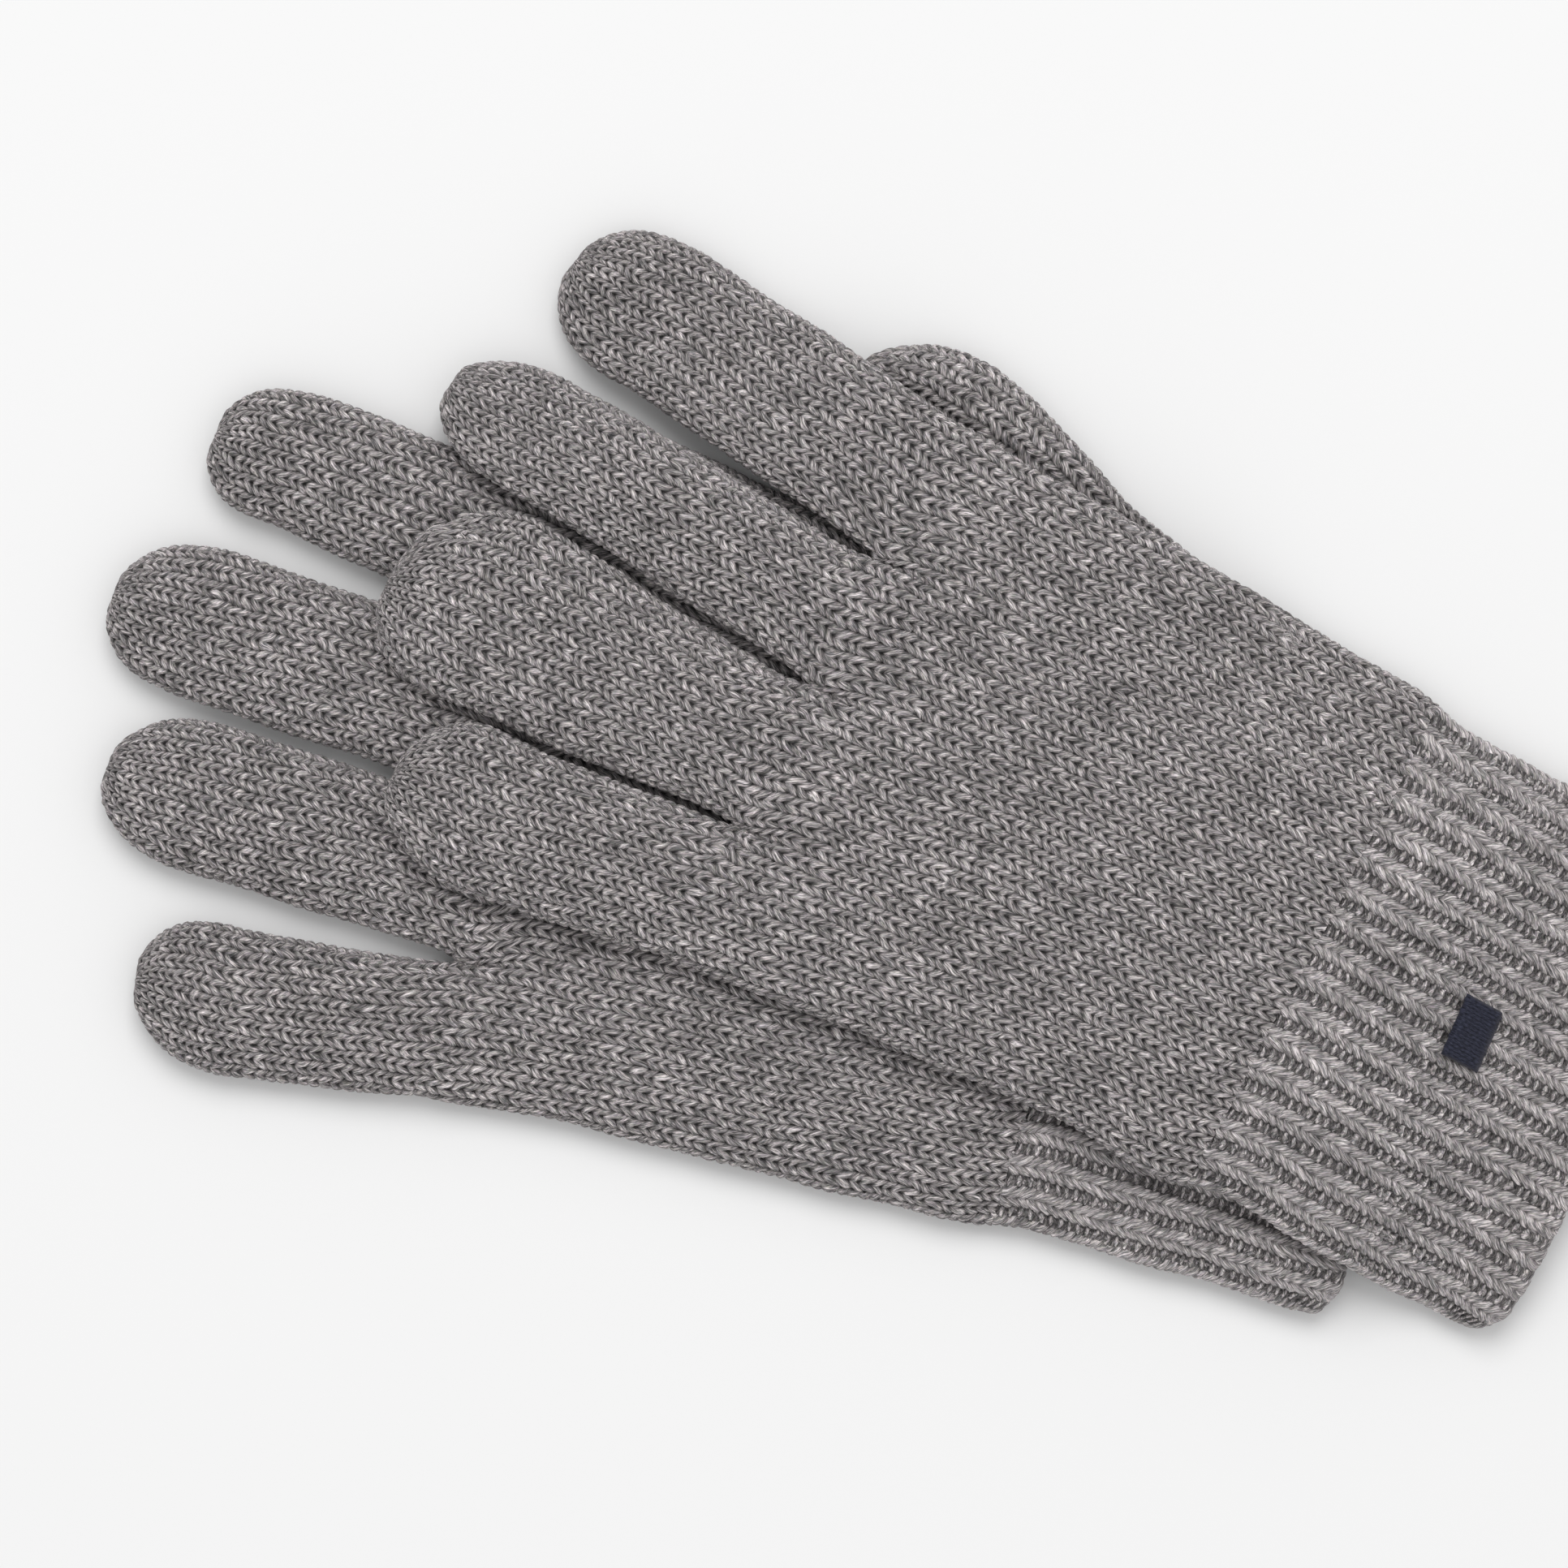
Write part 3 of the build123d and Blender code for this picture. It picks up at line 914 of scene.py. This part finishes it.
class Drape:
    """The height of a sheet that lies on what is under it and hangs between."""

    def __init__(self, supports, footprint):
        self.low = np.array([cad_low[0], cad_low[1]]) / MM - MARGIN
        high = np.array([cad_high[0], cad_high[1]]) / MM + MARGIN
        shape = np.ceil((high - self.low) / CELL).astype(int) + 1
        below = np.full(shape, FLOOR_CLEAR)
        for points in supports:
            points = points.reshape(-1, 3)
            np.maximum.at(below, self.cells(points), points[:, 2] + CLEAR)
        under = np.zeros(shape, bool)
        under[self.cells(footprint)] = True
        for _ in range(WIDENING):
            under = under | (sum(beside(under)) > 0)
        self.sheet = self.carried_on(self.settled(below, under), under)

    def cells(self, points):
        """The cells of the grid that world points fall in."""
        cell = np.rint((points[:, :2] - self.low) / CELL).astype(int)
        return cell[:, 0], cell[:, 1]

    def settled(self, below, under):
        """The sheet let down from above until it lies or hangs, and then smoothed a little."""
        sheet = np.full(below.shape, below.max())
        sag = SAG * CELL * CELL / 4
        for _ in range(SETTLING_STEPS):
            mean = self.mean_beside(sheet, under)[0]
            sheet = np.where(under, np.maximum(below, mean - sag), sheet)
        for _ in range(SMOOTHING_STEPS):
            mean = self.mean_beside(sheet, under)[0]
            sheet = np.where(under, np.maximum(below, (sheet + mean) / 2), sheet)
        return sheet

    def carried_on(self, sheet, under):
        """The sheet with the height of its edge carried on past it."""
        for _ in range(FRINGE):
            mean, has_any = self.mean_beside(sheet, under)
            grow = ~under & has_any
            sheet = np.where(grow, mean, sheet)
            under = under | grow
        return sheet

    @staticmethod
    def mean_beside(sheet, under):
        """The mean of each cell's neighbours in the sheet, and whether it has any."""
        total, count = sum(beside(np.where(under, sheet, 0))), sum(beside(under))
        return total / np.maximum(count, 1), count > 0

    def __call__(self, x, y):
        u, v = (x - self.low[0]) / CELL, (y - self.low[1]) / CELL
        i, j = (np.clip(np.floor(value).astype(int), 0, size - 2)
                for value, size in ((u, self.sheet.shape[0]), (v, self.sheet.shape[1])))
        s, t = np.clip(u - i, 0, 1), np.clip(v - j, 0, 1)
        sheet = self.sheet
        return ((sheet[i, j] * (1 - s) + sheet[i + 1, j] * s) * (1 - t)
                + (sheet[i, j + 1] * (1 - s) + sheet[i + 1, j + 1] * s) * t)


def outline_of(glove, place):
    """World points all over a glove seen from above, without its thumb."""
    spots = []
    for x in np.arange(0.5, glove["root"], 1.0):
        low, high = (through_points(glove["hand"], edge, x) for edge in (1, 2))
        spots.append(np.stack(place.world(np.full(120, x), np.linspace(low, high, 120)), axis=1))
    for name in FINGER_COLUMNS:
        for x in np.arange(glove["root"], glove["fingers"][name][3][0], 1.0):
            low, high, _ = finger_edges(glove, name, x)
            spots.append(np.stack(place.world(np.full(40, x), np.linspace(low, high, 40)), axis=1))
    return np.concatenate(spots)


def floor_level(x, y):
    return np.full_like(x, FLOOR_LEVEL)


right_place = Place("right_little_root_fold", 171.0, -45.75, -1)
left_place = Place("left_cuff_fold", WRIST, 0.0, 1)

below = build_glove(RIGHT, right_place, floor_level)
below.append(build_thumb(RIGHT, right_place, floor_level))
below.append(build_thumb(LEFT, left_place, floor_level))
drape = Drape(below, outline_of(LEFT, left_place))
left_cuff = build_glove(LEFT, left_place, drape)[1]


# -------------------- trims

PATCH_AT = (31.0, -0.5)
PATCH_SIZE = (8.0, 12.0)               # along and across
PATCH_THREADS = 17
THREAD_STEPS = 6
PATCH_REACH = 3.6                      # how far round a place its surface's top is looked for
PATCH_EDGE, PATCH_RISE = 1.6, 1.85     # its edge is sunk so far, and its middle rises from that
THREAD_ROUND = 0.34                    # a thread's crown above its sides
RAGGED, PATCH_SLANT = 0.22, 0.06
EDGE_THREADS = 0.8                     # threads over which its sides turn down
LABEL_SIZE = 18.0
LABEL_AT = {"left": (43.0, -33.0), "right": (29.0, -33.0)}
LABEL_FOLD = 0.35                      # radius of the label's folded end
LABEL_CLEAR = 0.75                     # above the cuff's inner face
LABEL_LIFT, LABEL_WAVE = 0.35, 0.12    # of its free end, and across it


def open_grid(name, points, uv):
    """A sheet of quads from a grid of points, with uv as its stitch coordinates."""
    rows, cols = points.shape[:2]
    corners = quads(rows - 1, cols - 1)
    faces = np.stack([a * cols + b for a, b in corners], axis=1)
    stitch = np.stack([uv[a, b] for a, b in corners], axis=1)
    flat = np.stack([np.stack([b / (cols - 1), a / (rows - 1)], axis=1)
                     for a, b in corners], axis=1)
    return mesh_piece(name, points.reshape(-1, 3) * MM, faces, {"OFBake": flat, "stitch": stitch})


def surface_terms(u, v):
    return (1, u, v, u * v, v * v)


def surface_under_patch(place, cuff):
    """The weights of the terms of a smooth surface over the tops of the cuff's ribs."""
    length, width = PATCH_SIZE
    terms, tops = [], []
    for v in np.linspace(-0.5, 0.5, 5):
        for u in np.linspace(-0.5, 0.5, 3):
            x, y = place.world(PATCH_AT[0] + u * length, PATCH_AT[1] + v * width)
            near = np.hypot(cuff[:, 0] - x, cuff[:, 1] - y) < PATCH_REACH
            terms.append(surface_terms(u, v))
            tops.append(cuff[near][:, 2].max())
    return np.linalg.lstsq(np.array(terms), np.array(tops), rcond=None)[0]


def embroidery(place, cuff):
    """A plain block of satin stitch on the cuff's top, its threads side by side along it."""
    length, width = PATCH_SIZE
    weights = surface_under_patch(place, cuff)
    share = np.linspace(0, 1, 25)[:, None]
    thread = np.linspace(0, PATCH_THREADS, PATCH_THREADS * THREAD_STEPS + 1)[None, :]
    number = np.floor(np.minimum(thread, PATCH_THREADS - 0.01))
    ragged = RAGGED * np.sin(number * 12.9) * np.sin(number * 4.1)
    along = PATCH_AT[0] + (share - 0.5) * (length + ragged * np.abs(2 * share - 1) ** 3)
    across = PATCH_AT[1] + (thread / PATCH_THREADS - 0.5) * width + 0 * share
    along = along + 0 * thread + PATCH_SLANT * (thread / PATCH_THREADS - 0.5) * width
    x, y = place.world(along, across)

    crown = np.sqrt(np.clip(1 - (2 * (thread % 1) - 1) ** 2, 0, 1))
    dome = (1 - np.abs(2 * share - 1) ** 6) * crown
    ends = 1 - np.abs(2 * share - 1) ** 8
    edge = np.clip(np.minimum(thread, PATCH_THREADS - thread) / EDGE_THREADS, 0, 1) ** 0.5
    u, v = share - 0.5 + 0 * thread, thread / PATCH_THREADS - 0.5 + 0 * share
    surface = sum(weight * term for weight, term in zip(weights, surface_terms(u, v)))
    height = surface - PATCH_EDGE + (PATCH_RISE * ends + THREAD_ROUND * dome) * edge
    uv = np.stack([thread + 0 * share, share * 20 + 0 * thread], axis=2)
    points = np.stack([x, y, height], axis=2)[::-1]
    piece = open_grid("left_patch_thread", points, uv[::-1])
    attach(finish_piece(piece, THREAD, "patch_thread", "left_patch"), "left_cuff")


def folded_label(glove, place, base):
    """A blank satin label, folded in two and sewn inside the cuff by its inner end."""
    side = glove["name"]
    at_along, at_across = LABEL_AT[side]
    run = np.linspace(0, LABEL_SIZE - LABEL_FOLD, 16)
    turn = np.linspace(0, math.pi, 9)[1:-1]
    along = np.concatenate([-run, -run[-1] - LABEL_FOLD * np.sin(turn), -run[::-1]])
    lift = np.concatenate([0 * run, LABEL_FOLD * (1 - np.cos(turn)), 2 * LABEL_FOLD + 0 * run])
    across = np.linspace(-LABEL_SIZE / 2, LABEL_SIZE / 2, 19)
    sewn_at = at_along + LABEL_SIZE / 2
    along, across = np.meshgrid(sewn_at + along, at_across + across, indexing="ij")
    lift = lift[:, None] + LABEL_LIFT * smooth((sewn_at - along) / LABEL_SIZE)
    lift = lift + LABEL_WAVE * np.sin((across - at_across) * 0.5)
    x, y = place.world(along, across)
    height = base(x, y) + WALL + LABEL_CLEAR + lift
    travelled = np.linspace(0, 2, along.shape[0])[:, None] + 0 * across
    uv = np.stack([across - at_across, travelled * LABEL_SIZE], axis=2)
    piece = open_grid(f"{side}_label_satin", np.stack([x, y, height], axis=2), uv)
    body = "left_cuff" if side == "left" else "right_glove"
    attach(finish_piece(piece, SATIN, "label_satin", f"{side}_label"), body)


def woven_material(name, colour, pale, scale, sheen, roughness):
    """Fine parallel threads with a slow variation of shade along them."""
    material, tree, shader = blank_material(name, roughness, sheen)
    uv = node(tree, "ShaderNodeUVMap")
    uv.uv_map = "stitch"
    at = node(tree, "ShaderNodeVectorMath", i0=uv.outputs[0], i1=scale)
    at.operation = "MULTIPLY"
    threads = node(tree, "ShaderNodeTexNoise", Vector=at.outputs[0], Scale=1.0, Detail=3.0)
    colours = ramp(tree, threads.outputs["Fac"], ((0.35, (*colour, 1)), (0.65, (*pale, 1))))
    tree.links.new(colours, shader.inputs["Base Color"])
    bump = node(tree, "ShaderNodeBump", Height=threads.outputs["Fac"], Strength=0.5,
                Distance=0.00012)
    tree.links.new(bump.outputs[0], shader.inputs["Normal"])
    return material


THREAD = woven_material("dark_embroidery_thread", (0.004, 0.005, 0.012), (0.035, 0.038, 0.065),
                        (4.0, 0.5, 1.0), 0.05, 0.45)
SATIN = woven_material("pale_satin", (0.62, 0.62, 0.60), (0.80, 0.80, 0.78),
                       (5.0, 1.2, 1.0), 0.3, 0.4)
embroidery(left_place, left_cuff.reshape(-1, 3))
folded_label(LEFT, left_place, drape)
folded_label(RIGHT, right_place, floor_level)


# -------------------- floor, light and camera

WORLD_LIGHT = 0.74
KEY_AT = (0.70, -1.70, 2.8)        # towards the top of the picture, high up
KEY_SIZE = 2.2
KEY_POWER = 50.0
FLOOR_REACH = 3.0
FLOOR_GREY = 0.86


def stage():
    floor_mesh = bpy.data.meshes.new("floor")
    corners = [(-FLOOR_REACH, -FLOOR_REACH, 0), (FLOOR_REACH, -FLOOR_REACH, 0),
               (FLOOR_REACH, FLOOR_REACH, 0), (-FLOOR_REACH, FLOOR_REACH, 0)]
    floor_mesh.from_pydata(corners, [], [(0, 1, 2, 3)])
    floor = bpy.data.objects.new("floor", floor_mesh)
    bpy.context.scene.collection.objects.link(floor)
    material, _, shader = blank_material("pale_floor", 0.9, 0.0)
    shader.inputs["Base Color"].default_value = (FLOOR_GREY, FLOOR_GREY, FLOOR_GREY, 1)
    floor_mesh.materials.append(material)

    world = bpy.data.worlds.new("studio")
    world.use_nodes = True
    background = world.node_tree.nodes["Background"]
    background.inputs["Color"].default_value = (1, 1, 1, 1)
    background.inputs["Strength"].default_value = WORLD_LIGHT
    bpy.context.scene.world = world
    bpy.context.scene.view_settings.view_transform = "Standard"

    light = bpy.data.lights.new("key", "AREA")
    light.shape, light.size, light.energy = "DISK", KEY_SIZE, KEY_POWER
    lamp = bpy.data.objects.new("key", light)
    lamp.location = KEY_AT
    away = math.atan2(math.hypot(KEY_AT[0], KEY_AT[1]), KEY_AT[2])
    lamp.rotation_euler = (away, 0, math.atan2(KEY_AT[1], KEY_AT[0]) + math.pi / 2)
    bpy.context.scene.collection.objects.link(lamp)


VIEW_ROLL = math.radians(22.5)     # +X points up to the left by this much
VIEW_CENTRE = (21.1, -1.2)         # what the middle of the picture looks at
VIEW_WIDTH = 286.0                 # how much it shows at the upper glove's height
VIEW_LEVEL = 12.0                  # which is this
VIEW_LENS = 180.0
SENSOR = 36.0


def camera():
    data = bpy.data.cameras.new("camera")
    data.lens, data.sensor_width = VIEW_LENS, SENSOR
    seen = bpy.data.objects.new("camera", data)
    height = VIEW_WIDTH * VIEW_LENS / SENSOR + VIEW_LEVEL
    seen.location = (VIEW_CENTRE[0] * MM, VIEW_CENTRE[1] * MM, height * MM)
    seen.rotation_euler = (0, 0, math.pi + VIEW_ROLL)
    data.clip_end = 20
    bpy.context.scene.collection.objects.link(seen)
    bpy.context.scene.camera = seen


stage()
camera()
